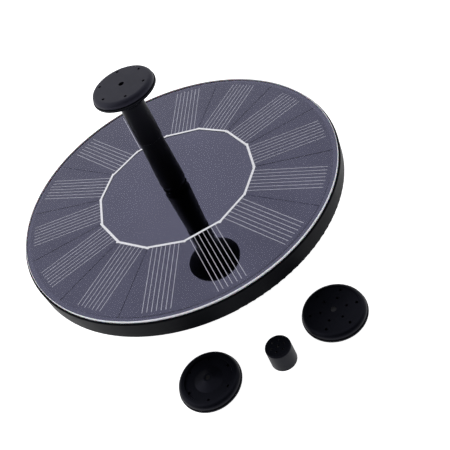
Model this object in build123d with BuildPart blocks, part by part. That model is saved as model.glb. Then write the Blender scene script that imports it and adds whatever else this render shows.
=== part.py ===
from build123d import *
import os
from math import cos, hypot, radians, sin, tan

# Floating solar fountain pump. Millimetres. The origin is the centre of the pump's base, on the
# surface that it stands on; +Z runs up the riser, and the loose spray pieces lie on the -Y side.

# ---------------------------------------------------------------- driving dimensions
panel_diameter = 160.0
float_depth = 10.9              # from the panel's face down to the underside of the float
riser_base_height = 30.0        # from the panel's face up to the joint of the two tubes
riser_extension_height = 20.7
nozzle_height = 9.8
nozzle_radius = 14.5
ring_head_radius = 14.2
jet_cap_height = 10.6

# clearances
push_fit = 0.05                 # radial, spigot in socket and O-ring in socket
seat_gap = 0.05                 # between the shoulders of two pieces pushed together
bush_clearance = 0.03           # radial, rotor bush on the shaft
rotor_clearance = 0.4           # magnet to its well, and impeller to its chamber
drop_in_gap = 0.3               # radial, plate or cover dropped into a bore
bond_gap = 0.1                  # between stacked and nested pieces that are glued or potted

# solar panel
board_thickness = 1.2
cell_thickness = 0.18
ribbon_thickness = 0.06
cover_thickness = 0.4
cover_gap = 0.3                 # from the board's top to the underside of the clear cover
edge_tape_thickness = 0.15
edge_exposed = 1.2              # height of panel edge that stands above the float's lip
cell_count = 14
first_cell_angle = 16.9
cell_gap = 0.3
cell_margin = 2.4               # from the outer end of a cell to the panel's edge
ribbon_apothem = 39.2
ribbon_width = 1.2
ribbon_end_gap = 0.7
grommet_wall = 0.45

# float
lip_width = 0.9
tray_floor = 2.0
tray_wall = 3.6
panel_seal_thickness = 0.25
panel_seal_width = 2.2
support_ring_radius = 45.0
support_ring_wall = 1.2
foam_clearance = 1.0
under_rib_count = 8
under_rib_depth = 2.4
under_rib_width = 1.4

# pump housing, from the floor up
housing_wall = 3.6              # outside the rising outlet bore
skirt_wall = 2.5
cavity_wall = 3.7
intake_height = 8.0
volute_cover_thickness = 1.6
chamber_height = 5.9
chamber_gap = 1.6               # radial, from the impeller's rim to the chamber wall
magnet_length = 9.4
well_wall = 0.8
well_roof = 1.0
potting_headroom = 2.0          # from the rotor well's roof to the top of the flange
flange_thickness = 2.5
flange_overhang = 5.5
gasket_thickness = 0.6
intake_slot_count = 20
intake_slot_width = 2.0

# water path
outlet_radius = 3.5
outlet_wall = 1.5
duct_height = 3.0
duct_roof = 1.5
socket_floor = 1.0
socket_wall = 2.9

# rotor, shaft and stator
shaft_radius = 1.0
bush_radius = 2.0
bush_length = 3.0
magnet_radius = 6.8
magnet_bore_radius = 3.9
impeller_radius = 10.6
shroud_thickness = 1.0
blade_count = 6
blade_thickness = 0.9
inlet_eye_radius = 4.6
seat_wall = 1.2                 # rubber seat round the top end of the shaft
stator_lift = 2.5               # from the impeller chamber's roof to the lamination stack
stator_height = 6.0
stator_yoke = 1.2
shoe_thickness = 0.8
pole_count = 4
tooth_width = 3.8
coil_build = 2.1                # thickness of the winding on each side of a tooth
coil_overhang = 0.7             # winding above and below the lamination stack
coil_length = 2.0

# risers and nozzles
waterway_radius = 3.2
spigot_radius = 4.5
spigot_length = 5.4
plug_radius = 5.5
plug_length = 4.8
riser_foot_flare = 0.9          # radial, from the plug out to the widest part of the foot
riser_foot_height = 2.7
base_shoulder = 1.05            # radial, from a spigot out to the tube that carries it
extension_shoulder = 1.1
extension_foot_wall = 1.3
collar_wall = 1.1
collar_height = 1.2
nozzle_rim_thickness = 4.4      # from a head's face down to where its conical underside starts
nozzle_edge_round = 2.0
nozzle_wall = 1.6
face_thickness = 1.3
face_depth = 2.8                # from a head's face down to the seam between face plate and bowl
face_inset = 0.4                # radial, from the bowl's rim in to the face plate's edge
face_plug_length = 0.8
face_plug_wall = 1.2
face_hole_radius = 0.65
centre_hole_radius = 1.3
small_hole_radius = 0.6
bowl_cone_step = 1.6            # radial, the underside's cone ends this far inside the rim
bowl_cone_drop = 0.6            # the cone's end lies this far below the rim's lower edge
bowl_cone_round = 1.5
bowl_rim_round = 0.9
bowl_foot_wall = 1.0            # radial, from the collar out to the bowl's floor
spray_hole_ratio = 0.74         # circle of holes, over the head's radius
ring_hole_ratio = 0.7
rose_inner_ratio = 0.4
rose_outer_ratio = 0.71
rose_field_ratio = 0.82
ring_cone_foot_radius = 6.4
ring_cone_top_radius = 1.9
ring_nozzle_radius = 1.0
jet_cap_skirt_wall = 1.35
jet_cap_crown_wall = 1.2
jet_cap_edge_round = 0.7
jet_cap_hole_circle = 2.9
jet_cap_hole_radius = 0.45
bore_step = 0.6                 # radial, from the waterway out to the socket's stop
face_cut = 1.5 * face_thickness # depth of cut that is sure to go through a face

# loose spray pieces, where they lie
ring_head_at = (-21.9, -88.9)
jet_cap_at = (10.4, -90.6)
rose_head_at = (38.6, -85.4)

# screws
housing_screw_radius = 1.2
housing_screw_length = 8.4
cover_screw_radius = 0.9
cover_screw_length = 5.8
screw_head_ratio = 1.85
screw_clearance = 0.2
thread_gap = 0.05

# ---------------------------------------------------------------- pump radii, outwards from the rotor
well_radius = magnet_radius + rotor_clearance
well_outer = well_radius + well_wall
shoe_inner = well_outer + 2 * bond_gap
shoe_outer = shoe_inner + shoe_thickness
coil_start = shoe_outer + 3 * bond_gap
coil_width = tooth_width + 2 * coil_build
yoke_inner = hypot(coil_start + coil_length, coil_width / 2) + 2 * bond_gap
yoke_outer = yoke_inner + stator_yoke
outlet_offset = yoke_outer + 4 * bond_gap + outlet_wall + outlet_radius
housing_radius = outlet_offset + outlet_radius + housing_wall
intake_radius = housing_radius - skirt_wall
cavity_radius = housing_radius - cavity_wall
chamber_radius = impeller_radius + chamber_gap
flange_radius = housing_radius + flange_overhang
housing_screw_circle = housing_radius + flange_overhang / 2
cover_screw_circle = (chamber_radius + intake_radius) / 2

# ---------------------------------------------------------------- levels, upwards from the floor
chamber_floor = intake_height + volute_cover_thickness
chamber_roof = chamber_floor + chamber_height
rotor_bottom = chamber_floor + rotor_clearance
magnet_bottom = chamber_roof + bond_gap
magnet_top = magnet_bottom + magnet_length
top_seat_height = 1.4
well_top = magnet_top + rotor_clearance + top_seat_height
housing_top = well_top + well_roof + potting_headroom
flange_bottom = housing_top - flange_thickness
stator_bottom = chamber_roof + stator_lift
stator_middle = stator_bottom + stator_height / 2
cavity_floor = stator_bottom - coil_overhang - 3 * bond_gap

float_bottom = housing_top + gasket_thickness
panel_top = float_bottom + float_depth
cover_bottom = panel_top - cover_thickness
board_top = cover_bottom - cover_gap
board_bottom = board_top - board_thickness
lip_top = panel_top - edge_exposed
ledge = board_bottom - panel_seal_thickness
tray_inside = float_bottom + tray_floor

# ---------------------------------------------------------------- float and riser radii
panel_radius = panel_diameter / 2
board_radius = panel_radius - edge_tape_thickness
lip_inner = panel_radius + bond_gap
float_radius = lip_inner + lip_width
tray_cavity = float_radius - tray_wall

grommet_bore = plug_radius + 4 * push_fit
panel_hole_radius = grommet_bore + grommet_wall + push_fit
socket_radius = plug_radius + 2 * push_fit
socket_bottom = tray_inside + duct_height + socket_floor
spigot_bore = spigot_radius + push_fit
riser_joint = panel_top + riser_base_height
head_joint = riser_joint + riser_extension_height
riser_foot_radius = plug_radius + riser_foot_flare
riser_base_top_radius = spigot_radius + base_shoulder
extension_foot_radius = spigot_bore + extension_foot_wall
extension_top_radius = spigot_radius + extension_shoulder
collar_radius = spigot_bore + collar_wall

os.makedirs("parts", exist_ok=True)


def profile_plane(x=0.0, y=0.0, z=0.0):
    """Upright plane through a vertical axis: local x is the radius, local y the height above z."""
    return Plane(origin=(x, y, z), x_dir=(1, 0, 0), z_dir=(0, -1, 0))


def level(z, x=0.0, y=0.0):
    """Level plane at height z, with its origin over (x, y)."""
    return Plane(origin=(x, y, z))


def radial_plane(angle, z=0.0):
    """Level plane turned so that its local x points outwards at the angle."""
    return Plane(origin=(0, 0, z), x_dir=(cos(radians(angle)), sin(radians(angle)), 0), z_dir=(0, 0, 1))


def corner(sketch, radius, height):
    """Profile corner nearest to a radius and a height."""
    return sketch.vertices().sort_by_distance((radius, height, 0))[0]


# ---------------------------------------------------------------- solar panel
with BuildPart() as panel_board:
    with BuildSketch(level(board_bottom)):
        Circle(board_radius)
        Circle(panel_hole_radius, mode=Mode.SUBTRACT)
    extrude(amount=board_thickness)
panel_board.part.label = "panel_board"
export_step(panel_board.part, "parts/panel_board.step")

with BuildPart() as panel_cover:
    with BuildSketch(level(cover_bottom)):
        Circle(board_radius)
        Circle(panel_hole_radius, mode=Mode.SUBTRACT)
    extrude(amount=cover_thickness)
panel_cover.part.label = "panel_cover"
export_step(panel_cover.part, "parts/panel_cover.step")

with BuildPart() as edge_tape:
    with BuildSketch(level(board_bottom)):
        Circle(panel_radius)
        Circle(board_radius, mode=Mode.SUBTRACT)
    extrude(amount=panel_top - board_bottom - bond_gap / 2)
edge_tape.part.label = "edge_tape"
export_step(edge_tape.part, "parts/edge_tape.step")

# Each cell fills its sector from the ribbon polygon out to a margin inside the panel's edge.
cell_step = 360 / cell_count
half_sector = radians(cell_step / 2)
cell_inner = ribbon_apothem - ribbon_width / 4
cell_outer = panel_radius - cell_margin
cell_inner_half = cell_inner * tan(half_sector) - cell_gap / 2
cell_outer_angle = half_sector - cell_gap / 2 / cell_outer
cell_corner = (cell_outer * cos(cell_outer_angle), cell_outer * sin(cell_outer_angle))
for number in range(cell_count):
    with BuildPart() as solar_cell:
        with BuildSketch(radial_plane(first_cell_angle + number * cell_step, board_top)):
            with BuildLine():
                Polyline(
                    (cell_corner[0], -cell_corner[1]),
                    (cell_inner, -cell_inner_half),
                    (cell_inner, cell_inner_half),
                    cell_corner,
                )
                ThreePointArc(cell_corner, (cell_outer, 0), (cell_corner[0], -cell_corner[1]))
            make_face()
        extrude(amount=cell_thickness)
    solar_cell.part.label = f"solar_cell_{number + 1:02d}"
    export_step(solar_cell.part, f"parts/solar_cell_{number + 1:02d}.step")

with BuildPart() as cell_ribbons:
    with BuildSketch(level(board_top + cell_thickness)):
        with PolarLocations(ribbon_apothem, cell_count, start_angle=first_cell_angle):
            Rectangle(ribbon_width, 2 * ribbon_apothem * tan(half_sector) - ribbon_end_gap)
    extrude(amount=ribbon_thickness)
cell_ribbons.part.label = "cell_ribbons"
export_step(cell_ribbons.part, "parts/cell_ribbons.step")

# Clear ring that lines the panel's centre hole and stands just above its face.
with BuildPart() as panel_grommet:
    with BuildSketch(level(board_bottom)):
        Circle(panel_hole_radius - push_fit)
        Circle(grommet_bore, mode=Mode.SUBTRACT)
    extrude(amount=panel_top - board_bottom + bond_gap)
panel_grommet.part.label = "panel_grommet"
export_step(panel_grommet.part, "parts/panel_grommet.step")

# ---------------------------------------------------------------- float
wire_slot_at = -13.0
wire_slot = (3.0, 8.0)
post_radius = 3.0
post_height = 5.0
driver_board_at = (-31.0, 0.0)
driver_board_size = (24.0, 20.0)
standoff_height = 1.4
standoff_inset = 2.6
rib_start = flange_radius + 1.5
rib_end = float_radius - 7.0
rib_slope = 8.0

with BuildPart() as float_tray:
    with BuildSketch(profile_plane()) as tray_profile:
        with BuildLine():
            Polyline(
                (0, float_bottom),
                (float_radius, float_bottom),
                (float_radius, lip_top),
                (lip_inner, lip_top),
                (lip_inner, ledge),
                (tray_cavity, ledge),
                (tray_cavity, tray_inside),
                (0, tray_inside),
                close=True,
            )
        make_face()
        fillet(corner(tray_profile, float_radius, float_bottom), radius=1.4)
        fillet(corner(tray_profile, float_radius, lip_top), radius=0.4)
        fillet(corner(tray_profile, tray_cavity, tray_inside), radius=1.0)
    revolve(axis=Axis.Z)
    # support ring under the panel board, and posts for the pump's screws
    with BuildSketch(level(tray_inside)):
        Circle(support_ring_radius + support_ring_wall)
        Circle(support_ring_radius, mode=Mode.SUBTRACT)
    extrude(amount=board_bottom - tray_inside)
    with BuildSketch(level(tray_inside)):
        with PolarLocations(housing_screw_circle, 4, start_angle=45):
            Circle(post_radius)
    extrude(amount=post_height)
    with BuildSketch(level(tray_inside, *driver_board_at)):
        with GridLocations(
            driver_board_size[0] - 2 * standoff_inset, driver_board_size[1] - 2 * standoff_inset, 2, 2
        ):
            Circle(1.8)
    extrude(amount=standoff_height)
    # radial ribs under the float, sloping up towards the rim
    for number in range(under_rib_count):
        rib_angle = radians(number * 360 / under_rib_count)
        rib_plane = Plane(
            origin=(0, 0, float_bottom),
            x_dir=(cos(rib_angle), sin(rib_angle), 0),
            z_dir=(sin(rib_angle), -cos(rib_angle), 0),
        )
        with BuildSketch(rib_plane):
            with BuildLine():
                Polyline(
                    (rib_start, 0.5),
                    (rib_start, -under_rib_depth),
                    (rib_end - rib_slope, -under_rib_depth),
                    (rib_end, 0.5),
                    close=True,
                )
            make_face()
        extrude(amount=under_rib_width / 2, both=True)
    # outlet bore, wire slot and pilot holes for the screws
    with BuildSketch(level(float_bottom)):
        with Locations((outlet_offset, 0)):
            Circle(outlet_radius)
        with Locations((wire_slot_at, 0)):
            Rectangle(*wire_slot)
    extrude(amount=tray_floor, mode=Mode.SUBTRACT)
    with BuildSketch(level(float_bottom)):
        with PolarLocations(housing_screw_circle, 4, start_angle=45):
            Circle(housing_screw_radius + thread_gap)
    extrude(amount=tray_floor + post_height - 1.0, mode=Mode.SUBTRACT)
float_tray.part.label = "float_tray"
export_step(float_tray.part, "parts/float_tray.step")

with BuildPart() as panel_seal:
    with BuildSketch(level(ledge)):
        Circle(panel_radius - bond_gap)
        Circle(panel_radius - bond_gap - panel_seal_width, mode=Mode.SUBTRACT)
    extrude(amount=panel_seal_thickness)
panel_seal.part.label = "panel_seal"
export_step(panel_seal.part, "parts/panel_seal.step")

with BuildPart() as foam_ring:
    with BuildSketch(profile_plane()) as foam_profile:
        with BuildLine():
            Polyline(
                (support_ring_radius + support_ring_wall + foam_clearance, tray_inside + bond_gap),
                (tray_cavity - foam_clearance, tray_inside + bond_gap),
                (tray_cavity - foam_clearance, board_bottom - foam_clearance),
                (support_ring_radius + support_ring_wall + foam_clearance, board_bottom - foam_clearance),
                close=True,
            )
        make_face()
        fillet(foam_profile.vertices(), radius=1.0)
    revolve(axis=Axis.Z)
foam_ring.part.label = "foam_ring"
export_step(foam_ring.part, "parts/foam_ring.step")

# Inverted trough from the rising bore to the centre, with the riser's socket standing on it.
duct_outer = outlet_radius + 2.0
with BuildPart() as outlet_duct:
    with BuildSketch(level(tray_inside)):
        with Locations((outlet_offset, 0)):
            Circle(duct_outer)
        Circle(socket_radius + socket_wall)
        make_hull()
    extrude(amount=duct_height + duct_roof)
    with BuildSketch(level(tray_inside)):
        Circle(socket_radius + socket_wall)
    extrude(amount=board_bottom - tray_inside)
    with BuildSketch(level(tray_inside)):
        with Locations((outlet_offset, 0)):
            Circle(outlet_radius)
        Circle(socket_radius - 0.5)
        make_hull()
    extrude(amount=duct_height, mode=Mode.SUBTRACT)
    with BuildSketch(level(tray_inside)):
        Circle(plug_radius - 1.5)
    extrude(amount=duct_height + socket_floor, mode=Mode.SUBTRACT)
    with BuildSketch(level(socket_bottom)):
        Circle(socket_radius)
    extrude(amount=board_bottom - socket_bottom, mode=Mode.SUBTRACT)
outlet_duct.part.label = "outlet_duct"
export_step(outlet_duct.part, "parts/outlet_duct.step")

# ---------------------------------------------------------------- electronics inside the float
driver_bottom = tray_inside + standoff_height
driver_thickness = 1.2
driver_top = driver_bottom + driver_thickness
with BuildPart() as driver_board:
    with BuildSketch(level(driver_bottom, *driver_board_at)):
        RectangleRounded(*driver_board_size, 1.0)
    extrude(amount=driver_thickness)
driver_board.part.label = "driver_board"
export_step(driver_board.part, "parts/driver_board.step")

# controller chip, two transistors, inductor and capacitor, as separate solids on the board
with BuildPart() as driver_components:
    with BuildSketch(level(driver_top, *driver_board_at)):
        Rectangle(5.0, 4.0)
        with Locations((2.0, 6.5), (2.0, -6.5)):
            Rectangle(3.0, 2.6)
    extrude(amount=1.2)
    with BuildSketch(level(driver_top, *driver_board_at)):
        with Locations((-8.0, 4.0)):
            RectangleRounded(6.0, 6.0, 1.0)
    extrude(amount=3.0)
    with BuildSketch(level(driver_top, *driver_board_at)):
        with Locations((-7.5, -5.0)):
            Circle(2.5)
    extrude(amount=3.4)
driver_components.part.label = "driver_components"
export_step(driver_components.part, "parts/driver_components.step")

lead_radius = 0.55
lead_bend = 1.6
lead_height = driver_top + 2.3
board_pad = (-24.0, 8.2)
panel_pad = (-34.0, 26.0)


def panel_lead(side):
    """Lead from the driver board over to the solder pad under the panel, on the +Y or -Y side."""
    with BuildPart() as lead:
        with BuildLine():
            route = FilletPolyline(
                (board_pad[0], side * board_pad[1], driver_top),
                (board_pad[0], side * board_pad[1], lead_height),
                (panel_pad[0], side * panel_pad[1], lead_height),
                (panel_pad[0], side * panel_pad[1], board_bottom),
                radius=[lead_bend, min(lead_bend, 0.8 * (board_bottom - lead_height))],
            )
        with BuildSketch(Plane(origin=route @ 0, z_dir=route % 0)):
            Circle(lead_radius)
        sweep(path=route)
    return lead.part


with BuildPart() as panel_lead_red:
    add(panel_lead(1))
panel_lead_red.part.label = "panel_lead_red"
export_step(panel_lead_red.part, "parts/panel_lead_red.step")

with BuildPart() as panel_lead_black:
    add(panel_lead(-1))
panel_lead_black.part.label = "panel_lead_black"
export_step(panel_lead_black.part, "parts/panel_lead_black.step")

# three leads from the potted stator up through the float to the driver board
potting_top = well_top + well_roof - bond_gap
motor_lead_pitch = 2.2
motor_lead_end = driver_board_at[0] + driver_board_size[0] / 2 - 2.2
with BuildPart() as motor_leads:
    for offset_y in (-motor_lead_pitch, 0, motor_lead_pitch):
        with BuildLine():
            lead_route = FilletPolyline(
                (wire_slot_at, offset_y, potting_top),
                (wire_slot_at, offset_y, lead_height),
                (motor_lead_end, offset_y, lead_height),
                (motor_lead_end, offset_y, driver_top),
                radius=lead_bend,
            )
        with BuildSketch(Plane(origin=lead_route @ 0, z_dir=lead_route % 0)):
            Circle(lead_radius)
        sweep(path=lead_route)
motor_leads.part.label = "motor_leads"
export_step(motor_leads.part, "parts/motor_leads.step")

with BuildPart() as lead_grommet:
    with BuildSketch(level(float_bottom)):
        with Locations((wire_slot_at, 0)):
            Rectangle(wire_slot[0] - bond_gap, wire_slot[1] - bond_gap)
            with GridLocations(1, motor_lead_pitch, 1, 3):
                Circle(lead_radius + push_fit, mode=Mode.SUBTRACT)
    extrude(amount=tray_floor)
lead_grommet.part.label = "lead_grommet"
export_step(lead_grommet.part, "parts/lead_grommet.step")

# ---------------------------------------------------------------- pump housing
with BuildPart() as pump_housing:
    with BuildSketch(profile_plane()) as housing_profile:
        with BuildLine():
            Polyline(
                (intake_radius, 0),
                (housing_radius, 0),
                (housing_radius, flange_bottom),
                (flange_radius, flange_bottom),
                (flange_radius, housing_top),
                (0, housing_top),
                (0, well_top),
                (well_radius, well_top),
                (well_radius, chamber_roof),
                (chamber_radius, chamber_roof),
                (chamber_radius, chamber_floor),
                (intake_radius, chamber_floor),
                close=True,
            )
        make_face()
        fillet(corner(housing_profile, housing_radius, 0), radius=0.8)
        fillet(corner(housing_profile, housing_radius, flange_bottom), radius=0.4)
        fillet(corner(housing_profile, flange_radius, flange_bottom), radius=0.6)
    revolve(axis=Axis.Z)
    # stator cavity, open at the top, left standing round the rotor well and the outlet bore
    with BuildSketch(level(cavity_floor)):
        Circle(cavity_radius)
        Circle(well_outer, mode=Mode.SUBTRACT)
        with Locations((outlet_offset, 0)):
            Circle(outlet_radius + outlet_wall, mode=Mode.SUBTRACT)
    extrude(amount=housing_top - cavity_floor, mode=Mode.SUBTRACT)
    with BuildSketch(level(well_top + well_roof)):
        Circle(well_outer)
    extrude(amount=potting_headroom, mode=Mode.SUBTRACT)
    # volute throat from the impeller chamber to the outlet bore, which rises to the float
    with BuildSketch(level(chamber_floor)):
        with Locations((outlet_offset, 0)):
            Circle(outlet_radius)
        with Locations((0.62 * chamber_radius, 0.5 * chamber_radius)):
            Circle(outlet_radius)
        make_hull()
    extrude(amount=chamber_height, mode=Mode.SUBTRACT)
    with BuildSketch(level(chamber_floor)):
        with Locations((outlet_offset, 0)):
            Circle(outlet_radius)
    extrude(amount=housing_top - chamber_floor, mode=Mode.SUBTRACT)
    # intake slots round the skirt
    with Locations((0, 0, intake_height / 2 + 0.2)):
        with PolarLocations(housing_radius, intake_slot_count, start_angle=360 / intake_slot_count / 2):
            Box(4 * skirt_wall, intake_slot_width, intake_height - 3.6, mode=Mode.SUBTRACT)
    # screw holes in the flange, and pilot holes for the volute cover
    with BuildSketch(level(flange_bottom)):
        with PolarLocations(housing_screw_circle, 4, start_angle=45):
            Circle(housing_screw_radius + screw_clearance)
    extrude(amount=flange_thickness, mode=Mode.SUBTRACT)
    with BuildSketch(level(chamber_floor)):
        with PolarLocations(cover_screw_circle, 3, start_angle=60):
            Circle(cover_screw_radius + thread_gap)
    extrude(amount=cover_screw_length - volute_cover_thickness + 0.5, mode=Mode.SUBTRACT)
pump_housing.part.label = "pump_housing"
export_step(pump_housing.part, "parts/pump_housing.step")

with BuildPart() as housing_gasket:
    with BuildSketch(level(housing_top)):
        Circle(flange_radius - 0.6)
        Circle(cavity_radius + 0.4, mode=Mode.SUBTRACT)
        with Locations((outlet_offset, 0)):
            Circle(outlet_radius + outlet_wall)
            Circle(outlet_radius, mode=Mode.SUBTRACT)
        with PolarLocations(housing_screw_circle, 4, start_angle=45):
            Circle(housing_screw_radius + screw_clearance, mode=Mode.SUBTRACT)
    extrude(amount=gasket_thickness)
housing_gasket.part.label = "housing_gasket"
export_step(housing_gasket.part, "parts/housing_gasket.step")


def screw(radius, length):
    """Pan-head cross-recess screw pointing up, with the underside of its head at height 0."""
    head_radius = screw_head_ratio * radius
    head_height = 1.3 * radius
    recess = (1.3 * head_radius, 0.5 * radius)
    with BuildPart() as blank:
        with BuildSketch(profile_plane()) as outline:
            with BuildLine():
                Polyline(
                    (0, -head_height),
                    (head_radius, -head_height),
                    (head_radius, 0),
                    (radius, 0),
                    (radius, length - radius),
                    (0.4 * radius, length),
                    (0, length),
                    close=True,
                )
            make_face()
            fillet(corner(outline, head_radius, -head_height), radius=0.6 * head_height)
        revolve(axis=Axis.Z)
        with BuildSketch(level(-head_height)):
            Rectangle(*recess)
            Rectangle(*reversed(recess))
        extrude(amount=0.5 * head_height, mode=Mode.SUBTRACT)
    return blank.part


with BuildPart() as housing_screws:
    with Locations((0, 0, flange_bottom)):
        with PolarLocations(housing_screw_circle, 4, start_angle=45):
            add(screw(housing_screw_radius, housing_screw_length))
housing_screws.part.label = "housing_screws"
export_step(housing_screws.part, "parts/housing_screws.step")

# ---------------------------------------------------------------- stator
with BuildPart() as stator_core:
    with BuildSketch(level(stator_bottom)):
        Circle(shoe_outer)
        Circle(shoe_inner, mode=Mode.SUBTRACT)
        with PolarLocations(shoe_outer, pole_count, start_angle=180 / pole_count):
            Rectangle(4 * (shoe_outer - shoe_inner), tooth_width, mode=Mode.SUBTRACT)
    extrude(amount=stator_height)
    with BuildSketch(level(stator_bottom)):
        Circle(yoke_outer)
        Circle(yoke_inner, mode=Mode.SUBTRACT)
        with PolarLocations((shoe_inner + yoke_outer) / 2, pole_count):
            Rectangle(yoke_outer - shoe_inner - 1.0, tooth_width)
    extrude(amount=stator_height)
stator_core.part.label = "stator_core"
export_step(stator_core.part, "parts/stator_core.step")

coil_height = stator_height + 2 * coil_overhang
for number in range(pole_count):
    coil_angle = radians(number * 360 / pole_count)
    coil_plane = Plane(
        origin=(coil_start * cos(coil_angle), coil_start * sin(coil_angle), stator_middle),
        x_dir=(-sin(coil_angle), cos(coil_angle), 0),
        z_dir=(cos(coil_angle), sin(coil_angle), 0),
    )
    with BuildPart() as stator_coil:
        with BuildSketch(coil_plane):
            RectangleRounded(coil_width, coil_height, 1.0)
            Rectangle(tooth_width + bond_gap, stator_height + bond_gap, mode=Mode.SUBTRACT)
        extrude(amount=coil_length)
    stator_coil.part.label = f"stator_coil_{number + 1}"
    export_step(stator_coil.part, f"parts/stator_coil_{number + 1}.step")

potting_joint = stator_bottom + stator_height + coil_overhang + bond_gap
with BuildPart() as potting:
    with BuildSketch(level(cavity_floor + bond_gap)):
        Circle(cavity_radius - bond_gap)
        Circle(yoke_outer + bond_gap, mode=Mode.SUBTRACT)
        with Locations((outlet_offset, 0)):
            Circle(outlet_radius + outlet_wall + bond_gap, mode=Mode.SUBTRACT)
    extrude(amount=potting_joint - cavity_floor - bond_gap)
    with BuildSketch(level(potting_joint)):
        Circle(cavity_radius - bond_gap)
        Circle(well_outer + bond_gap, mode=Mode.SUBTRACT)
        with Locations((outlet_offset, 0)):
            Circle(outlet_radius + outlet_wall + bond_gap, mode=Mode.SUBTRACT)
    extrude(amount=potting_top - potting_joint)
potting.part.label = "potting"
export_step(potting.part, "parts/potting.step")

# ---------------------------------------------------------------- volute cover and shaft
bottom_seat_height = 1.2
spider_hub = bush_radius + 0.8
with BuildPart() as volute_cover:
    with BuildSketch(level(intake_height)):
        Circle(intake_radius - drop_in_gap)
        Circle(inlet_eye_radius, mode=Mode.SUBTRACT)
        Circle(spider_hub)
        with PolarLocations((spider_hub + inlet_eye_radius) / 2, 3, start_angle=30):
            Rectangle(inlet_eye_radius - spider_hub + 1.0, 1.2)
        with PolarLocations(cover_screw_circle, 3, start_angle=60):
            Circle(cover_screw_radius + screw_clearance, mode=Mode.SUBTRACT)
    extrude(amount=volute_cover_thickness)
    with BuildSketch(level(chamber_floor - bottom_seat_height)):
        Circle(bush_radius)
    extrude(amount=bottom_seat_height, mode=Mode.SUBTRACT)
volute_cover.part.label = "volute_cover"
export_step(volute_cover.part, "parts/volute_cover.step")

with BuildPart() as volute_screws:
    with Locations((0, 0, intake_height)):
        with PolarLocations(cover_screw_circle, 3, start_angle=60):
            add(screw(cover_screw_radius, cover_screw_length))
volute_screws.part.label = "volute_screws"
export_step(volute_screws.part, "parts/volute_screws.step")

shaft_bottom = chamber_floor - 0.7
shaft_top = well_top - 0.6
with BuildPart() as rotor_shaft:
    with BuildSketch(level(shaft_bottom)):
        Circle(shaft_radius)
    extrude(amount=shaft_top - shaft_bottom)
    chamfer(rotor_shaft.edges().filter_by(GeomType.CIRCLE), length=0.15)
rotor_shaft.part.label = "rotor_shaft"
export_step(rotor_shaft.part, "parts/rotor_shaft.step")

with BuildPart() as shaft_seat_top:
    with BuildSketch(level(well_top - top_seat_height)):
        Circle(shaft_radius + seat_wall)
    extrude(amount=top_seat_height)
    with BuildSketch(level(well_top - top_seat_height)):
        Circle(shaft_radius)
    extrude(amount=shaft_top - well_top + top_seat_height, mode=Mode.SUBTRACT)
shaft_seat_top.part.label = "shaft_seat_top"
export_step(shaft_seat_top.part, "parts/shaft_seat_top.step")

with BuildPart() as shaft_seat_bottom:
    with BuildSketch(level(chamber_floor - bottom_seat_height)):
        Circle(bush_radius)
    extrude(amount=bottom_seat_height)
    with BuildSketch(level(shaft_bottom)):
        Circle(shaft_radius)
    extrude(amount=chamber_floor - shaft_bottom, mode=Mode.SUBTRACT)
shaft_seat_bottom.part.label = "shaft_seat_bottom"
export_step(shaft_seat_bottom.part, "parts/shaft_seat_bottom.step")

# ---------------------------------------------------------------- rotor
shroud_bottom = chamber_roof - rotor_clearance - shroud_thickness
blade_bottom = rotor_bottom + 0.5
blade_inner = 4.2
blade_tip = impeller_radius - 0.4
blade_curve = ThreePointArc(
    (blade_inner, 0),
    (0.68 * blade_tip, 0.28 * blade_tip),
    (blade_tip * cos(radians(50)), blade_tip * sin(radians(50))),
)
with BuildPart() as impeller:
    with BuildSketch(level(shroud_bottom)):
        Circle(impeller_radius)
    extrude(amount=shroud_thickness)
    with BuildSketch(level(blade_bottom)):
        with PolarLocations(0, blade_count):
            SlotArc(arc=blade_curve, height=blade_thickness)
    extrude(amount=shroud_bottom - blade_bottom)
    with BuildSketch(level(rotor_bottom)):
        Circle(bush_radius + 1.0)
    extrude(amount=shroud_bottom - rotor_bottom)
    with BuildSketch(level(shroud_bottom)):
        Circle(magnet_bore_radius - push_fit)
    extrude(amount=magnet_top - shroud_bottom)
    with BuildSketch(level(rotor_bottom)):
        Circle(bush_radius)
    extrude(amount=magnet_top - rotor_bottom, mode=Mode.SUBTRACT)
impeller.part.label = "impeller"
export_step(impeller.part, "parts/impeller.step")

with BuildPart() as rotor_magnet:
    with BuildSketch(level(magnet_bottom)):
        Circle(magnet_radius)
        Circle(magnet_bore_radius, mode=Mode.SUBTRACT)
    extrude(amount=magnet_length)
rotor_magnet.part.label = "rotor_magnet"
export_step(rotor_magnet.part, "parts/rotor_magnet.step")

for bush_name, bush_bottom in (("bush_lower", rotor_bottom), ("bush_upper", magnet_top - bush_length)):
    with BuildPart() as bush:
        with BuildSketch(level(bush_bottom)):
            Circle(bush_radius)
            Circle(shaft_radius + bush_clearance, mode=Mode.SUBTRACT)
        extrude(amount=bush_length)
    bush.part.label = bush_name
    export_step(bush.part, f"parts/{bush_name}.step")

# ---------------------------------------------------------------- filter
filter_plate = 1.6
leg_height = 4.0
leg_wall = 1.4
plate_radius = intake_radius - drop_in_gap
with BuildPart() as filter_cover:
    with BuildSketch(level(0)):
        Circle(plate_radius)
        with PolarLocations(0.38 * plate_radius, 8):
            SlotOverall(0.26 * plate_radius, 1.8, mode=Mode.SUBTRACT)
        with PolarLocations(0.73 * plate_radius, 16):
            SlotOverall(0.3 * plate_radius, 1.8, mode=Mode.SUBTRACT)
    extrude(amount=filter_plate)
    # two arcs of wall, opposite each other, that grip the inside of the skirt
    with BuildSketch(level(filter_plate)):
        Circle(plate_radius)
        Circle(plate_radius - leg_wall, mode=Mode.SUBTRACT)
        Rectangle(2 * plate_radius, 2 * plate_radius - 11.0, mode=Mode.SUBTRACT)
    extrude(amount=leg_height)
filter_cover.part.label = "filter_cover"
export_step(filter_cover.part, "parts/filter_cover.step")

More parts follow.
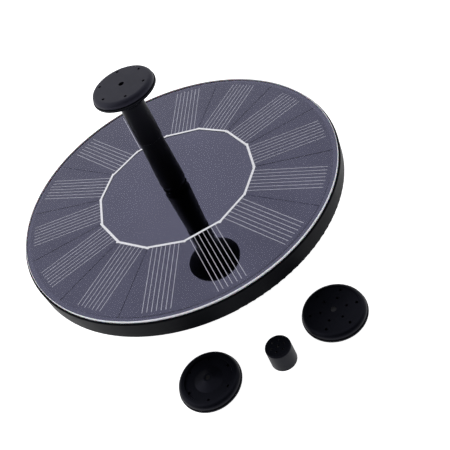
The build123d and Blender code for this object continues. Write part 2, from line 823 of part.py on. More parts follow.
with BuildPart() as filter_sponge:
    with BuildSketch(level(filter_plate + bond_gap)):
        Circle(plate_radius - leg_wall - 0.4)
    extrude(amount=intake_height - filter_plate - screw_head_ratio * cover_screw_radius - bond_gap)
    fillet(filter_sponge.edges().filter_by(GeomType.CIRCLE), radius=0.6)
filter_sponge.part.label = "filter_sponge"
export_step(filter_sponge.part, "parts/filter_sponge.step")

# ---------------------------------------------------------------- riser
oring_section = 0.45
oring_centre = plug_radius + push_fit - oring_section
oring_height = panel_top - 2.6
with BuildPart() as riser_base:
    with BuildSketch(profile_plane()) as base_profile:
        with BuildLine():
            Polyline(
                (waterway_radius, panel_top - plug_length),
                (plug_radius, panel_top - plug_length),
                (plug_radius, panel_top + 0.2),
                (riser_foot_radius, panel_top + riser_foot_height),
                (riser_base_top_radius, riser_joint),
                (spigot_radius, riser_joint),
                (spigot_radius, riser_joint + spigot_length),
                (waterway_radius, riser_joint + spigot_length),
                close=True,
            )
        make_face()
        fillet(corner(base_profile, riser_foot_radius, panel_top + riser_foot_height), radius=2.0)
        fillet(corner(base_profile, riser_base_top_radius, riser_joint), radius=0.2)
        with Locations((oring_centre, oring_height)):
            Rectangle(2 * oring_section, 2 * oring_section + 0.2, mode=Mode.SUBTRACT)
    revolve(axis=Axis.Z)
    chamfer(riser_base.edges().group_by(Axis.Z)[-1], length=0.3)
riser_base.part.label = "riser_base"
export_step(riser_base.part, "parts/riser_base.step")

with BuildPart() as riser_o_ring:
    with BuildSketch(profile_plane()):
        with Locations((oring_centre, oring_height)):
            Circle(oring_section)
    revolve(axis=Axis.Z)
riser_o_ring.part.label = "riser_o_ring"
export_step(riser_o_ring.part, "parts/riser_o_ring.step")

with BuildPart() as riser_extension:
    with BuildSketch(profile_plane()) as extension_profile:
        with BuildLine():
            Polyline(
                (spigot_bore, riser_joint + seat_gap),
                (extension_foot_radius, riser_joint + seat_gap),
                (extension_top_radius, head_joint),
                (spigot_radius, head_joint),
                (spigot_radius, head_joint + spigot_length),
                (waterway_radius, head_joint + spigot_length),
                (waterway_radius, riser_joint + spigot_length + 0.4),
                (spigot_bore, riser_joint + spigot_length + 0.4),
                close=True,
            )
        make_face()
        fillet(corner(extension_profile, extension_foot_radius, riser_joint + seat_gap), radius=0.25)
        fillet(corner(extension_profile, extension_top_radius, head_joint), radius=0.15)
    revolve(axis=Axis.Z)
    chamfer(riser_extension.edges().group_by(Axis.Z)[-1], length=0.3)
riser_extension.part.label = "riser_extension"
export_step(riser_extension.part, "parts/riser_extension.step")

# ---------------------------------------------------------------- spray pieces
socket_depth = spigot_length + 0.2
seam_level = nozzle_height - face_depth
stop_level = socket_depth + 0.8
bowl_floor = seam_level - face_plug_length - drop_in_gap


def head_bowl(radius, x=0.0, y=0.0, z=0.0):
    """Bowl of a spray head: a push-on socket in a conical neck, open at the top for a face plate."""
    rim_bottom = nozzle_height - nozzle_rim_thickness
    bowl_inner = radius - nozzle_wall
    cone_end = radius - bowl_cone_step
    edge_top = rim_bottom + bowl_cone_drop
    edge_bottom = rim_bottom - bowl_cone_drop
    with BuildPart() as bowl:
        with BuildSketch(profile_plane(x, y, z)) as outline:
            with BuildLine():
                Polyline(
                    (spigot_bore, 0),
                    (collar_radius, 0),
                    (collar_radius, collar_height),
                    (cone_end, edge_bottom),
                    (radius, edge_top),
                    (radius, seam_level),
                    (bowl_inner, seam_level),
                    (bowl_inner, bowl_floor),
                    (collar_radius + 2 * bowl_foot_wall, bowl_floor),
                    (collar_radius + bowl_foot_wall, stop_level),
                    (waterway_radius + bore_step, stop_level),
                    (waterway_radius + bore_step, socket_depth),
                    (spigot_bore, socket_depth),
                    close=True,
                )
            make_face()
            fillet(corner(outline, cone_end, edge_bottom), radius=bowl_cone_round)
            fillet(corner(outline, radius, edge_top), radius=bowl_rim_round)
            fillet(corner(outline, radius, seam_level), radius=0.15)
            fillet(corner(outline, collar_radius, collar_height), radius=collar_height)
            fillet(corner(outline, collar_radius, 0), radius=0.15)
        revolve(axis=Axis((x, y, 0), (0, 0, 1)))
    return bowl.part


def head_face(radius, recess, x=0.0, y=0.0, z=0.0):
    """Face plate of a spray head: a rounded disc whose plug fits inside the bowl."""
    underside = nozzle_height - recess - face_thickness
    plate_radius = radius - face_inset
    plug_outer = radius - nozzle_wall - push_fit
    plug_inner = plug_outer - face_plug_wall
    with BuildPart() as plate:
        with BuildSketch(profile_plane(x, y, z)) as outline:
            with BuildLine():
                Polyline(
                    (0, underside),
                    (plug_inner, underside),
                    (plug_inner, seam_level - face_plug_length),
                    (plug_outer, seam_level - face_plug_length),
                    (plug_outer, seam_level + bond_gap),
                    (plate_radius, seam_level + bond_gap),
                    (plate_radius, nozzle_height),
                    (0, nozzle_height),
                    close=True,
                )
            make_face()
            fillet(corner(outline, plate_radius, nozzle_height), radius=nozzle_edge_round)
            fillet(corner(outline, plate_radius, seam_level + bond_gap), radius=0.3)
        revolve(axis=Axis((x, y, 0), (0, 0, 1)))
    return plate.part


with BuildPart() as spray_head:
    add(head_bowl(nozzle_radius, z=head_joint + seat_gap))
spray_head.part.label = "spray_head"
export_step(spray_head.part, "parts/spray_head.step")

with BuildPart() as spray_face:
    add(head_face(nozzle_radius, 0.0, z=head_joint + seat_gap))
    with BuildSketch(level(head_joint + seat_gap + nozzle_height)):
        Circle(centre_hole_radius)
        with PolarLocations(spray_hole_ratio * nozzle_radius, 6, start_angle=28):
            Circle(face_hole_radius)
    extrude(amount=-face_cut, mode=Mode.SUBTRACT)
spray_face.part.label = "spray_face"
export_step(spray_face.part, "parts/spray_face.step")

with BuildPart() as ring_head:
    add(head_bowl(ring_head_radius, *ring_head_at))
ring_head.part.label = "ring_head"
export_step(ring_head.part, "parts/ring_head.step")

# ring face: a step down from its band to a ring channel with six holes, and a centre cone
ring_channel_drop = 1.0
ring_cone_rise = 0.5
ring_band_inner = 0.76 * ring_head_radius
ring_channel_outer = 0.74 * ring_head_radius
with BuildPart() as ring_face:
    add(head_face(ring_head_radius, ring_channel_drop, *ring_head_at))
    with BuildSketch(profile_plane(*ring_head_at)):
        with BuildLine():
            Polyline(
                (0, nozzle_height - ring_channel_drop),
                (ring_channel_outer, nozzle_height - ring_channel_drop),
                (ring_band_inner, nozzle_height),
                (0, nozzle_height),
                close=True,
            )
        make_face()
    revolve(axis=Axis((*ring_head_at, 0), (0, 0, 1)), mode=Mode.SUBTRACT)
    with BuildSketch(profile_plane(*ring_head_at)):
        with BuildLine():
            Polyline(
                (0, nozzle_height - ring_channel_drop),
                (ring_cone_foot_radius, nozzle_height - ring_channel_drop),
                (ring_cone_top_radius, nozzle_height + ring_cone_rise),
                (0, nozzle_height + ring_cone_rise),
                close=True,
            )
        make_face()
    revolve(axis=Axis((*ring_head_at, 0), (0, 0, 1)))
    with BuildSketch(level(nozzle_height + ring_cone_rise, *ring_head_at)):
        Circle(ring_nozzle_radius)
    extrude(amount=-ring_cone_rise - ring_channel_drop - face_cut, mode=Mode.SUBTRACT)
    with BuildSketch(level(nozzle_height, *ring_head_at)):
        with PolarLocations(ring_hole_ratio * ring_head_radius, 6, start_angle=12):
            Circle(face_hole_radius)
    extrude(amount=-ring_channel_drop - face_cut, mode=Mode.SUBTRACT)
ring_face.part.label = "ring_face"
export_step(ring_face.part, "parts/ring_face.step")

with BuildPart() as rose_head:
    add(head_bowl(nozzle_radius, *rose_head_at))
rose_head.part.label = "rose_head"
export_step(rose_head.part, "parts/rose_head.step")

# rose face: a low raised edge round a flat field with two rings of holes
rose_face_drop = 0.3
with BuildPart() as rose_face:
    add(head_face(nozzle_radius, rose_face_drop, *rose_head_at))
    with BuildSketch(level(nozzle_height, *rose_head_at)):
        Circle(rose_field_ratio * nozzle_radius)
    extrude(amount=-rose_face_drop, mode=Mode.SUBTRACT)
    with BuildSketch(level(nozzle_height, *rose_head_at)):
        Circle(centre_hole_radius)
        with PolarLocations(rose_inner_ratio * nozzle_radius, 6, start_angle=48):
            Circle(small_hole_radius)
        with PolarLocations(rose_outer_ratio * nozzle_radius, 6, start_angle=48):
            Circle(face_hole_radius)
    extrude(amount=-rose_face_drop - face_cut, mode=Mode.SUBTRACT)
rose_face.part.label = "rose_face"
export_step(rose_face.part, "parts/rose_face.step")

jet_cap_skirt_radius = spigot_bore + jet_cap_skirt_wall
jet_cap_crown_radius = spigot_bore + jet_cap_crown_wall
with BuildPart() as jet_cap:
    with BuildSketch(profile_plane(*jet_cap_at)) as cap_profile:
        with BuildLine():
            Polyline(
                (0, 0),
                (jet_cap_skirt_radius, 0),
                (jet_cap_crown_radius, jet_cap_height),
                (0, jet_cap_height),
                close=True,
            )
        make_face()
        fillet(corner(cap_profile, jet_cap_crown_radius, jet_cap_height), radius=jet_cap_edge_round)
        fillet(corner(cap_profile, jet_cap_skirt_radius, 0), radius=0.2)
    revolve(axis=Axis((*jet_cap_at, 0), (0, 0, 1)))
    with BuildSketch(level(0, *jet_cap_at)):
        Circle(spigot_bore)
    extrude(amount=socket_depth, mode=Mode.SUBTRACT)
    with BuildSketch(level(0, *jet_cap_at)):
        Circle(waterway_radius + bore_step)
    extrude(amount=jet_cap_height - face_thickness, mode=Mode.SUBTRACT)
    with BuildSketch(level(jet_cap_height, *jet_cap_at)):
        Circle(small_hole_radius)
        with PolarLocations(jet_cap_hole_circle, 6):
            Circle(jet_cap_hole_radius)
    extrude(amount=-face_cut, mode=Mode.SUBTRACT)
jet_cap.part.label = "jet_cap"
export_step(jet_cap.part, "parts/jet_cap.step")
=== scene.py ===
import math
import random

import bpy
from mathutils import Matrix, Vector


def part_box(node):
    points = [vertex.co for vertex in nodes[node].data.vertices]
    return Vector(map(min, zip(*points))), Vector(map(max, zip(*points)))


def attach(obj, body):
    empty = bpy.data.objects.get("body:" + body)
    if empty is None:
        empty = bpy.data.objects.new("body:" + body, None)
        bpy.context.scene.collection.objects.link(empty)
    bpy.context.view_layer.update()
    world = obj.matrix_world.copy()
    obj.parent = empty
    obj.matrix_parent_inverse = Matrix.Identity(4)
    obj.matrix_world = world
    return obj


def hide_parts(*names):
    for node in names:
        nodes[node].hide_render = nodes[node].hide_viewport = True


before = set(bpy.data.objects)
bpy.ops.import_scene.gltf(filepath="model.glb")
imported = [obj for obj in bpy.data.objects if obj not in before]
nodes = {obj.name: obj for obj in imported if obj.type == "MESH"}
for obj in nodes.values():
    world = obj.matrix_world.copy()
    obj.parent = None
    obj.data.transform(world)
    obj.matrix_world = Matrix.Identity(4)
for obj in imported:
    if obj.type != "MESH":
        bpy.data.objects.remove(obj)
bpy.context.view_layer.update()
bpy.ops.object.select_all(action="DESELECT")
random.seed(7)

MM = 0.001
ROOT = "float_pump"
CELLS = 14
FIRST_CELL = math.radians(16.9)

panel_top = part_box("panel_cover")[1].z
cell_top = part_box("solar_cell_01")[1].z
ribbon_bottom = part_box("cell_ribbons")[0].z


# ---------------------------------------------------------------- camera, light and floor
def add_camera():
    """Looks down at the float from its near side, held tilted over to the left."""
    camera = bpy.data.objects.new("camera", bpy.data.cameras.new("camera"))
    bpy.context.scene.collection.objects.link(camera)
    camera.data.sensor_width = 36.0
    camera.data.lens = 54.82
    camera.data.clip_start = 0.01
    camera.location = (13.068 * MM, -263.026 * MM, panel_top + 205.19 * MM)
    camera.rotation_euler = (math.radians(90 - 42.945), 0, 0)
    camera.rotation_euler.rotate_axis("Z", math.radians(-26.231))
    bpy.context.scene.camera = camera


def add_node(tree, kind, inputs=None, **settings):
    """Adds a node, sets its properties, and links or sets its inputs, named or numbered."""
    made = tree.nodes.new(kind)
    for name, value in settings.items():
        setattr(made, name, value)
    for socket, value in (inputs or {}).items():
        if isinstance(value, bpy.types.NodeSocket):
            tree.links.new(value, made.inputs[socket])
        else:
            made.inputs[socket].default_value = value
    return made


def add_studio():
    """White tent behind, above and at the sides, darker behind the camera, over a white sweep."""
    world = bpy.data.worlds.new("studio")
    bpy.context.scene.world = world
    world.use_nodes = True
    tree = world.node_tree
    tree.nodes.clear()
    direction = add_node(tree, "ShaderNodeTexCoord").outputs["Generated"]
    turn = add_node(tree, "ShaderNodeSeparateXYZ", {"Vector": direction})
    behind = add_node(
        tree, "ShaderNodeMapRange", {"Value": turn.outputs["Y"], "From Min": -0.6, "From Max": 0.25},
        interpolation_type="SMOOTHSTEP",
    )
    ramp = add_node(tree, "ShaderNodeValToRGB", {"Fac": behind.outputs["Result"]})
    ramp.color_ramp.elements[0].color = (0.05, 0.05, 0.06, 1)
    ramp.color_ramp.elements[1].color = (0.97, 0.97, 1.0, 1)
    sky = add_node(tree, "ShaderNodeBackground", {"Color": ramp.outputs["Color"], "Strength": 1.25})
    add_node(tree, "ShaderNodeOutputWorld", {"Surface": sky.outputs["Background"]})

    bpy.ops.mesh.primitive_plane_add(size=6.0)
    floor = bpy.context.object
    floor.name = "floor"
    paper = bpy.data.materials.new("matte_white_paper_sweep")
    paper.use_nodes = True
    shader = paper.node_tree.nodes["Principled BSDF"]
    shader.inputs["Base Color"].default_value = (0.8, 0.8, 0.8, 1)
    shader.inputs["Roughness"].default_value = 0.9
    shader.inputs["Specular IOR Level"].default_value = 0.0
    shader.inputs["Emission Color"].default_value = (1, 1, 1, 1)
    shader.inputs["Emission Strength"].default_value = 0.95
    floor.data.materials.append(paper)

    softbox = bpy.data.lights.new("softbox", "AREA")
    softbox.shape = "RECTANGLE"
    softbox.size = 0.8
    softbox.size_y = 1.0
    softbox.energy = 3.0
    lamp = bpy.data.objects.new("softbox", softbox)
    bpy.context.scene.collection.objects.link(lamp)
    lamp.location = (-0.8, 0.1, 0.7)
    lamp.rotation_euler = (0, math.radians(-49), 0)
    bpy.context.scene.view_settings.view_transform = "Standard"


# ---------------------------------------------------------------- materials
def linear(colour):
    """sRGB hex to a linear RGBA colour."""
    channels = [int(colour[i:i + 2], 16) / 255 for i in (1, 3, 5)]
    return [c / 12.92 if c <= 0.04045 else ((c + 0.055) / 1.055) ** 2.4 for c in channels] + [1.0]


def new_material(name):
    """Material with a Principled shader; returns it with its tree, shader and object coordinates."""
    material = bpy.data.materials.new(name)
    material.use_nodes = True
    tree = material.node_tree
    place = add_node(tree, "ShaderNodeTexCoord").outputs["Object"]
    return material, tree, tree.nodes["Principled BSDF"], place


def set_shader(shader, **values):
    for name, value in values.items():
        shader.inputs[name.replace("_", " ")].default_value = value


def blend_colours(tree, factor, dark, light):
    """Colour between two sRGB hex colours, by a factor socket."""
    ramp = add_node(tree, "ShaderNodeValToRGB", {"Fac": factor})
    ramp.color_ramp.elements[0].position = 0.3
    ramp.color_ramp.elements[0].color = linear(dark)
    ramp.color_ramp.elements[1].position = 0.7
    ramp.color_ramp.elements[1].color = linear(light)
    return ramp.outputs["Color"]


def roughen(tree, shader, factor, low, high):
    spread = add_node(tree, "ShaderNodeMapRange", {"Value": factor, "To Min": low, "To Max": high})
    tree.links.new(spread.outputs["Result"], shader.inputs["Roughness"])


def emboss(tree, shader, height, depth, strength=0.6):
    """Relief of a real depth in millimetres."""
    bump = add_node(
        tree, "ShaderNodeBump", {"Height": height, "Strength": strength, "Distance": depth * MM}
    )
    tree.links.new(bump.outputs["Normal"], shader.inputs["Normal"])


def noise(tree, place, size, detail=3.0, **inputs):
    """Noise whose blobs are about size millimetres across."""
    made = add_node(
        tree, "ShaderNodeTexNoise", {"Vector": place, "Scale": 1 / (size * MM), "Detail": detail, **inputs}
    )
    return made.outputs["Fac"]


def moulded(name, dark, light, grain, rough, relief, **values):
    """Injection-moulded plastic: faint flow clouds, uneven gloss and a spark-eroded skin of a given grain."""
    material, tree, shader, place = new_material(name)
    cloud = noise(tree, place, 14.0)
    tree.links.new(blend_colours(tree, cloud, dark, light), shader.inputs["Base Color"])
    roughen(tree, shader, noise(tree, place, 5.0, 4.0), *rough)
    emboss(tree, shader, noise(tree, place, grain, 2.0), relief)
    set_shader(shader, **values)
    return material


def clear_sheet():
    """Clear PET front sheet, with a slow ripple from laminating.

    It is drawn as a film of slight opacity that doesn't refract, because a refracting sheet renders
    grainy. The cells and the board under it carry its share of the reflection.
    """
    material, tree, shader, place = new_material("clear_laminated_PET_sheet")
    ripple = noise(tree, place, 40.0, 1.0)
    tree.links.new(blend_colours(tree, ripple, "#08080c", "#0e0e14"), shader.inputs["Base Color"])
    emboss(tree, shader, ripple, 0.02, 0.15)
    set_shader(shader, Roughness=0.02, IOR=1.45, Alpha=0.03)
    return material


def silicon():
    """Monocrystalline silicon: a dark mirror with a blue to violet cast.

    The real one, coated against reflection, is darker. This one stands for the sheet's reflection too.
    """
    material, tree, shader, place = new_material("coated_monocrystalline_silicon")
    cast = noise(tree, place, 30.0, 2.0)
    tree.links.new(blend_colours(tree, cast, "#4c4c5c", "#515162"), shader.inputs["Base Color"])
    roughen(tree, shader, noise(tree, place, 8.0), 0.0, 0.02)
    set_shader(shader, Metallic=1.0)
    return material


def solder_mask(name, dark, light):
    """Screen-printed solder mask: glossy lacquer with a slight orange peel."""
    material, tree, shader, place = new_material(name)
    tree.links.new(blend_colours(tree, noise(tree, place, 12.0), dark, light), shader.inputs["Base Color"])
    roughen(tree, shader, noise(tree, place, 6.0), 0.12, 0.22)
    emboss(tree, shader, noise(tree, place, 1.5, 1.0), 0.01)
    set_shader(shader, IOR=1.55)
    return material


def back_lacquer():
    """Black lacquer on the face of the board: a dark mirror, which stands for the sheet's reflection too."""
    material, tree, shader, place = new_material("black_lacquered_panel_board")
    cloud = noise(tree, place, 25.0, 2.0)
    tree.links.new(blend_colours(tree, cloud, "#545465", "#58586a"), shader.inputs["Base Color"])
    roughen(tree, shader, noise(tree, place, 8.0), 0.0, 0.02)
    set_shader(shader, Metallic=1.0)
    return material


def solder_coat():
    """Copper ribbon dipped in solder: white metal, dull and lumpy where the tin has set."""
    material, tree, shader, place = new_material("solder_coated_copper_ribbon")
    lumps = noise(tree, place, 1.2, 3.0)
    tree.links.new(blend_colours(tree, lumps, "#f2f2f8", "#fefeff"), shader.inputs["Base Color"])
    roughen(tree, shader, lumps, 0.35, 0.6)
    emboss(tree, shader, lumps, 0.03)
    set_shader(shader, Metallic=0.05)
    return material


def silver_paste():
    """Silver paste, screen printed and fired: pale grey, matte, slightly uneven along each line."""
    material, tree, shader, place = new_material("screen_printed_silver_paste")
    grains = noise(tree, place, 0.6, 3.0)
    tree.links.new(blend_colours(tree, grains, "#a4a4b0", "#c6c6d2"), shader.inputs["Base Color"])
    roughen(tree, shader, grains, 0.5, 0.7)
    emboss(tree, shader, grains, 0.006)
    return material


def painted_highlight_edge_finish():
    """Sawn and lacquered edge of the laminate, painted milky near-white as a painted highlight along its bevel,
    with faint saw marks round the rim.
    """
    material, tree, shader, place = new_material("laminate_edge_painted_white_highlight")
    marks = noise(tree, place, 0.9, 3.0)
    # Near-white colour: a painted highlight along the edge's bevel.
    tree.links.new(blend_colours(tree, marks, "#eef0f8", "#ffffff"), shader.inputs["Base Color"])
    roughen(tree, shader, marks, 0.3, 0.5)
    emboss(tree, shader, marks, 0.02)
    set_shader(shader, IOR=1.5, Subsurface_Weight=0.1, Subsurface_Scale=0.5 * MM)
    return material


def metal(name, dark, light, rough, relief, grain, stretch=(1, 1, 1)):
    """Bare metal with marks of a given grain, drawn out along an axis by stretch."""
    material, tree, shader, place = new_material(name)
    turned = add_node(tree, "ShaderNodeMapping", {"Vector": place, "Scale": stretch})
    marks = noise(tree, turned.outputs["Vector"], grain, 4.0)
    tree.links.new(blend_colours(tree, marks, dark, light), shader.inputs["Base Color"])
    roughen(tree, shader, marks, *rough)
    emboss(tree, shader, marks, relief)
    set_shader(shader, Metallic=1.0)
    return material


def laminations():
    """Stack of 0.5 mm electrical steel sheets: fine dark joints between blue-grey edges."""
    material, tree, shader, place = new_material("stacked_electrical_steel")
    bands = add_node(
        tree, "ShaderNodeTexWave", {"Vector": place, "Scale": 2 * math.pi / 20 / (0.5 * MM), "Distortion": 0.3},
        bands_direction="Z",
    ).outputs["Fac"]
    tree.links.new(blend_colours(tree, bands, "#3a3d44", "#7c818c"), shader.inputs["Base Color"])
    roughen(tree, shader, noise(tree, place, 1.0), 0.3, 0.5)
    emboss(tree, shader, bands, 0.05)
    set_shader(shader, Metallic=1.0)
    return material


def windings():
    """Enamelled copper wire, 0.3 mm, wound side by side: a row of glossy orange-brown turns, darker in the
    creases between turns as painted shade.
    """
    material, tree, shader, place = new_material("enamelled_copper_winding")
    turns = add_node(
        tree, "ShaderNodeTexWave", {"Vector": place, "Scale": 2 * math.pi / 20 / (0.3 * MM), "Distortion": 0.6},
        bands_direction="Z",
    ).outputs["Fac"]
    # Colour follows the turns' relief: painted shade in the creases between turns, lighter on their crowns.
    tree.links.new(blend_colours(tree, turns, "#6a2c10", "#c46a33"), shader.inputs["Base Color"])
    roughen(tree, shader, noise(tree, place, 1.0), 0.15, 0.3)
    emboss(tree, shader, turns, 0.12)
    set_shader(shader, Metallic=0.8, Coat_Weight=0.5, Coat_Roughness=0.1)
    return material


def cellular_with_painted_pore_shade(name, dark, light, cell, rough, relief, **values):
    """Foam or sponge: cells of a given size in millimetres, dark in their middles, where the relief sinks:
    painted shade in the pores.
    """
    material, tree, shader, place = new_material(name)
    cells = add_node(
        tree, "ShaderNodeTexVoronoi", {"Vector": place, "Scale": 1 / (cell * MM)}
    ).outputs["Distance"]
    # Colour darkens with the cell distance, where the relief is low: painted shade in the pores.
    tree.links.new(blend_colours(tree, cells, light, dark), shader.inputs["Base Color"])
    roughen(tree, shader, cells, *rough)
    inverse = add_node(tree, "ShaderNodeMapRange", {"Value": cells, "To Min": 1.0, "To Max": 0.0})
    emboss(tree, shader, inverse.outputs["Result"], relief, 0.8)
    set_shader(shader, **values)
    return material


add_camera()
add_studio()

black_abs = moulded("satin_moulded_black_ABS", "#050608", "#08090c", 0.45, (0.42, 0.55), 0.02,
                    IOR=1.54, Specular_IOR_Level=0.09, Specular_Tint=linear("#e0e0ff"))
tube_abs = moulded("polished_mould_black_ABS", "#030305", "#060609", 0.3, (0.28, 0.36), 0.008,
                   IOR=1.54, Specular_IOR_Level=0.07, Specular_Tint=linear("#e0e0ff"))
loose_abs = moulded("fine_textured_black_ABS", "#06070b", "#0b0c11", 0.4, (0.34, 0.46), 0.012,
                    IOR=1.54, Specular_IOR_Level=0.08, Specular_Tint=linear("#dcdcff"))
tray_abs = moulded("satin_moulded_tray_ABS", "#040506", "#07080a", 0.6, (0.38, 0.5), 0.02,
                   IOR=1.54, Specular_IOR_Level=0.03, Specular_Tint=linear("#e0e0ff"))
# Face of the mounted spray head: the same black ABS as the heads, its colour painted lighter as painted light
# on its top face.
painted_light_face_abs = moulded("black_ABS_with_painted_light_face", "#101017", "#15151d", 0.4, (0.50, 0.60), 0.02,
                   IOR=1.54, Specular_IOR_Level=0.22, Specular_Tint=linear("#dcdcff"))
white_acetal = moulded("moulded_white_acetal", "#d8dada", "#e6e8e8", 0.5, (0.3, 0.42), 0.01, IOR=1.48)
black_rubber = moulded("moulded_black_nitrile", "#0b0b0c", "#151517", 0.25, (0.55, 0.75), 0.02, IOR=1.52)
silicone = moulded("cured_grey_silicone", "#7d8084", "#969a9e", 1.0, (0.25, 0.45), 0.03, IOR=1.41)
red_pvc = moulded("red_PVC_insulation", "#8e0d0d", "#b01515", 0.3, (0.3, 0.45), 0.01, IOR=1.53)
black_pvc = moulded("black_PVC_insulation", "#0c0c0d", "#171718", 0.3, (0.3, 0.45), 0.01, IOR=1.53)
epoxy = moulded("poured_black_epoxy", "#08080a", "#101013", 3.0, (0.06, 0.16), 0.05, IOR=1.55)
component_epoxy = moulded("moulded_component_epoxy", "#141415", "#222224", 0.15, (0.45, 0.6), 0.01, IOR=1.55)
zirconia = moulded("ground_zirconia", "#e8e6df", "#f5f4ef", 0.3, (0.08, 0.16), 0.002, IOR=2.1)
graphite = moulded("graphite_filled_bush", "#1b1b1e", "#2b2b2f", 0.2, (0.35, 0.5), 0.01, IOR=1.6)
clear_pet = clear_sheet()
stainless = metal("turned_stainless_steel", "#9a9a9e", "#c4c4c8", (0.2, 0.35), 0.004, 0.15)
ferrite = metal("ground_ferrite", "#26262a", "#3a3a40", (0.4, 0.6), 0.01, 0.3)

finishes = {
    "panel_cover": clear_pet, "panel_grommet": clear_pet, "panel_board": back_lacquer(),
    "edge_tape": painted_highlight_edge_finish(), "cell_ribbons": solder_coat(),
    "riser_base": tube_abs, "riser_extension": tube_abs, "spray_face": painted_light_face_abs,
    "ring_head": loose_abs, "ring_face": loose_abs, "rose_head": loose_abs, "rose_face": loose_abs,
    "jet_cap": loose_abs, "float_tray": tray_abs,
    "panel_seal": silicone,
    "foam_ring": cellular_with_painted_pore_shade("closed_cell_EPE_foam", "#c9cac6", "#f2f2ee", 1.6, (0.6, 0.8), 0.2),
    "driver_board": solder_mask("green_solder_mask", "#0b3a1b", "#14552a"),
    "driver_components": component_epoxy, "panel_lead_red": red_pvc, "panel_lead_black": black_pvc,
    "motor_leads": black_pvc, "lead_grommet": black_rubber, "housing_gasket": black_rubber,
    "housing_screws": stainless, "volute_screws": stainless, "stator_core": laminations(),
    "potting": epoxy, "rotor_shaft": zirconia, "shaft_seat_top": black_rubber,
    "shaft_seat_bottom": black_rubber, "impeller": white_acetal, "rotor_magnet": ferrite,
    "bush_lower": graphite, "bush_upper": graphite, "riser_o_ring": black_rubber,
    "filter_sponge": cellular_with_painted_pore_shade("open_cell_filter_sponge", "#020203", "#1c1c20", 0.9, (0.8, 0.95), 0.4),
}
cell_finish = silicon()
coil_finish = windings()
for name, node in nodes.items():
    finish = finishes.get(name, black_abs)
    if name.startswith("solar_cell"):
        finish = cell_finish
    elif name.startswith("stator_coil"):
        finish = coil_finish
    node.data.materials.clear()
    node.data.materials.append(finish)


# ---------------------------------------------------------------- modelling helpers
def apply_place(piece):
    """Puts the piece's place into its mesh, so that its object lies at the origin, unturned."""
    bpy.ops.object.select_all(action="DESELECT")
    piece.select_set(True)
    bpy.context.view_layer.objects.active = piece
    bpy.ops.object.transform_apply(location=True, rotation=True, scale=True)


def join(pieces, name):
    bpy.ops.object.select_all(action="DESELECT")
    for piece in pieces:
        piece.select_set(True)
    bpy.context.view_layer.objects.active = pieces[0]
    bpy.ops.object.join()
    pieces[0].name = name
    pieces[0].data.name = name
    return pieces[0]


def turned_copy(piece, name, angle):
    """Copy with a mesh of its own, turned about the riser's axis."""
    copy = bpy.data.objects.new(name, piece.data.copy())
    copy.data.name = name
    bpy.context.scene.collection.objects.link(copy)
    copy.rotation_euler = (0, 0, angle)
    apply_place(copy)
    return copy


def finish_piece(piece, body, material):
    piece.data.materials.clear()
    piece.data.materials.append(material)
    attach(piece, body)


def bevelled_bar(size, centre, bevel, turn=0.0):
    """Bar turned about its own upright axis, with all its edges bevelled."""
    bpy.ops.mesh.primitive_cube_add(size=1.0, location=centre)
    bar = bpy.context.object
    bar.scale = size
    bar.rotation_euler = (0, 0, turn)
    apply_place(bar)
    bpy.ops.object.mode_set(mode="EDIT")
    bpy.ops.mesh.bevel(offset=bevel, segments=1, affect="EDGES")
    bpy.ops.object.mode_set(mode="OBJECT")
    return bar


# ---------------------------------------------------------------- printed fingers
FINGERS = 7
FINGER_PITCH = 2.15 * MM
FINGER_WIDTH = 0.3 * MM
FINGER_THICKNESS = 0.02 * MM
FINGER_START = 39.6 * MM
FINGER_END = 75.6 * MM
paste = silver_paste()
fingers = []
for number in range(FINGERS):
    sideways = (number - (FINGERS - 1) / 2) * FINGER_PITCH
    end = FINGER_END + random.uniform(-0.3, 0.3) * MM
    size = (end - FINGER_START, FINGER_WIDTH, FINGER_THICKNESS)
    centre = ((FINGER_START + end) / 2, sideways, cell_top + 0.6 * FINGER_THICKNESS)
    fingers.append(bevelled_bar(size, centre, 0.3 * FINGER_THICKNESS))
first_fingers = join(fingers, "silver_fingers")
for number in range(CELLS):
    angle = FIRST_CELL + number * math.tau / CELLS
    printed = turned_copy(first_fingers, f"silver_fingers_{number + 1:02d}", angle)
    finish_piece(printed, ROOT, paste)
bpy.data.objects.remove(first_fingers)

# ---------------------------------------------------------------- ribbons and their solder
RIBBON_APOTHEM = 39.2 * MM
RIBBON_WIDTH = 1.15 * MM
RIBBON_THICKNESS = 0.05 * MM
side_length = 2 * RIBBON_APOTHEM * math.tan(math.pi / CELLS)
ribbon_pieces = []
for number in range(CELLS):
    length = side_length + random.uniform(0.2, 1.4) * MM
    height = ribbon_bottom + (0.01 + 0.05 * (number % 2)) * MM + RIBBON_THICKNESS / 2
    shift = (random.uniform(-0.18, 0.18) * MM, random.uniform(-0.35, 0.35) * MM)
    ribbon = bevelled_bar(
        (RIBBON_WIDTH, length, RIBBON_THICKNESS), (RIBBON_APOTHEM + shift[0], shift[1], height),
        0.2 * RIBBON_THICKNESS, math.radians(random.uniform(-1.2, 1.2)),
    )
    ribbon.rotation_euler = (0, 0, FIRST_CELL + number * math.tau / CELLS)
    apply_place(ribbon)
    ribbon_pieces.append(ribbon)
    corner_angle = FIRST_CELL + (number + 0.5) * math.tau / CELLS
    corner_radius = RIBBON_APOTHEM / math.cos(math.pi / CELLS) + random.uniform(-0.2, 0.2) * MM
    spot = (corner_radius * math.cos(corner_angle), corner_radius * math.sin(corner_angle), height)
    bpy.ops.mesh.primitive_uv_sphere_add(segments=16, ring_count=8, radius=1.0, location=spot)
    blob = bpy.context.object
    blob.scale = (random.uniform(0.7, 1.0) * MM, random.uniform(0.6, 0.85) * MM, 0.6 * RIBBON_THICKNESS)
    blob.rotation_euler = (0, 0, random.uniform(0, math.pi))
    apply_place(blob)
    ribbon_pieces.append(blob)
ribbons = join(ribbon_pieces, "tinned_ribbons")
finish_piece(ribbons, ROOT, finishes["cell_ribbons"])
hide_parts("cell_ribbons")

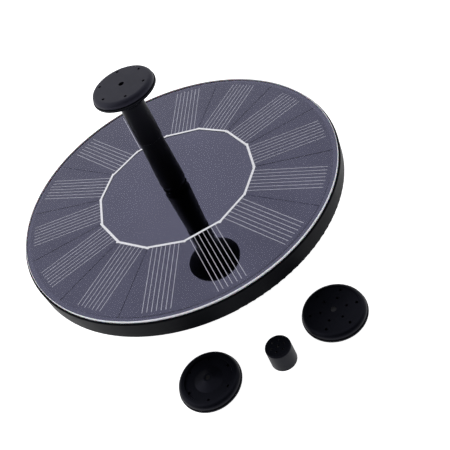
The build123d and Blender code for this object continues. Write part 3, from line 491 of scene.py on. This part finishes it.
# ---------------------------------------------------------------- foam and sponge
def porous(name, box, bore, cell, depth, voxel):
    """Soft disc or ring filling a box, its whole skin pitted to a given depth by open cells."""
    low, high = box
    radius = (high.x - low.x) / 2 - depth
    height = high.z - low.z - 2 * depth
    centre = (0, 0, (high.z + low.z) / 2)
    if bore:
        bpy.ops.mesh.primitive_cylinder_add(
            vertices=160, radius=radius, depth=height, end_fill_type="NOTHING", location=centre
        )
    else:
        bpy.ops.mesh.primitive_cylinder_add(vertices=96, radius=radius, depth=height, location=centre)
    piece = bpy.context.object
    piece.name = name
    apply_place(piece)
    if bore:
        wall = piece.modifiers.new("wall", "SOLIDIFY")
        wall.thickness = radius - bore - depth
        wall.offset = -1
    rounding = piece.modifiers.new("rounding", "BEVEL")
    rounding.width = 0.8 * MM
    rounding.segments = 2
    skin = piece.modifiers.new("skin", "REMESH")
    skin.mode = "VOXEL"
    skin.voxel_size = voxel
    pores = bpy.data.textures.new(name + "_pores", "VORONOI")
    pores.noise_scale = cell
    pits = piece.modifiers.new("pits", "DISPLACE")
    pits.texture = pores
    pits.strength = depth
    pits.mid_level = 0.5
    bpy.ops.object.select_all(action="DESELECT")
    piece.select_set(True)
    bpy.context.view_layer.objects.active = piece
    for step in [m.name for m in piece.modifiers]:
        bpy.ops.object.modifier_apply(modifier=step)
    bpy.ops.object.mode_set(mode="EDIT")
    bpy.ops.mesh.select_all(action="SELECT")
    bpy.ops.mesh.normals_make_consistent(inside=False)
    bpy.ops.mesh.faces_shade_smooth()
    bpy.ops.object.mode_set(mode="OBJECT")
    return piece


foam_bore = min(Vector(v.co[:2]).length for v in nodes["foam_ring"].data.vertices)
foam = porous("pitted_foam_ring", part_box("foam_ring"), foam_bore, 2.4 * MM, 0.5 * MM, 0.9 * MM)
finish_piece(foam, ROOT, finishes["foam_ring"])
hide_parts("foam_ring")
sponge = porous("pitted_filter_sponge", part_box("filter_sponge"), 0.0, 1.2 * MM, 0.6 * MM, 0.4 * MM)
finish_piece(sponge, "filter", finishes["filter_sponge"])
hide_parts("filter_sponge")
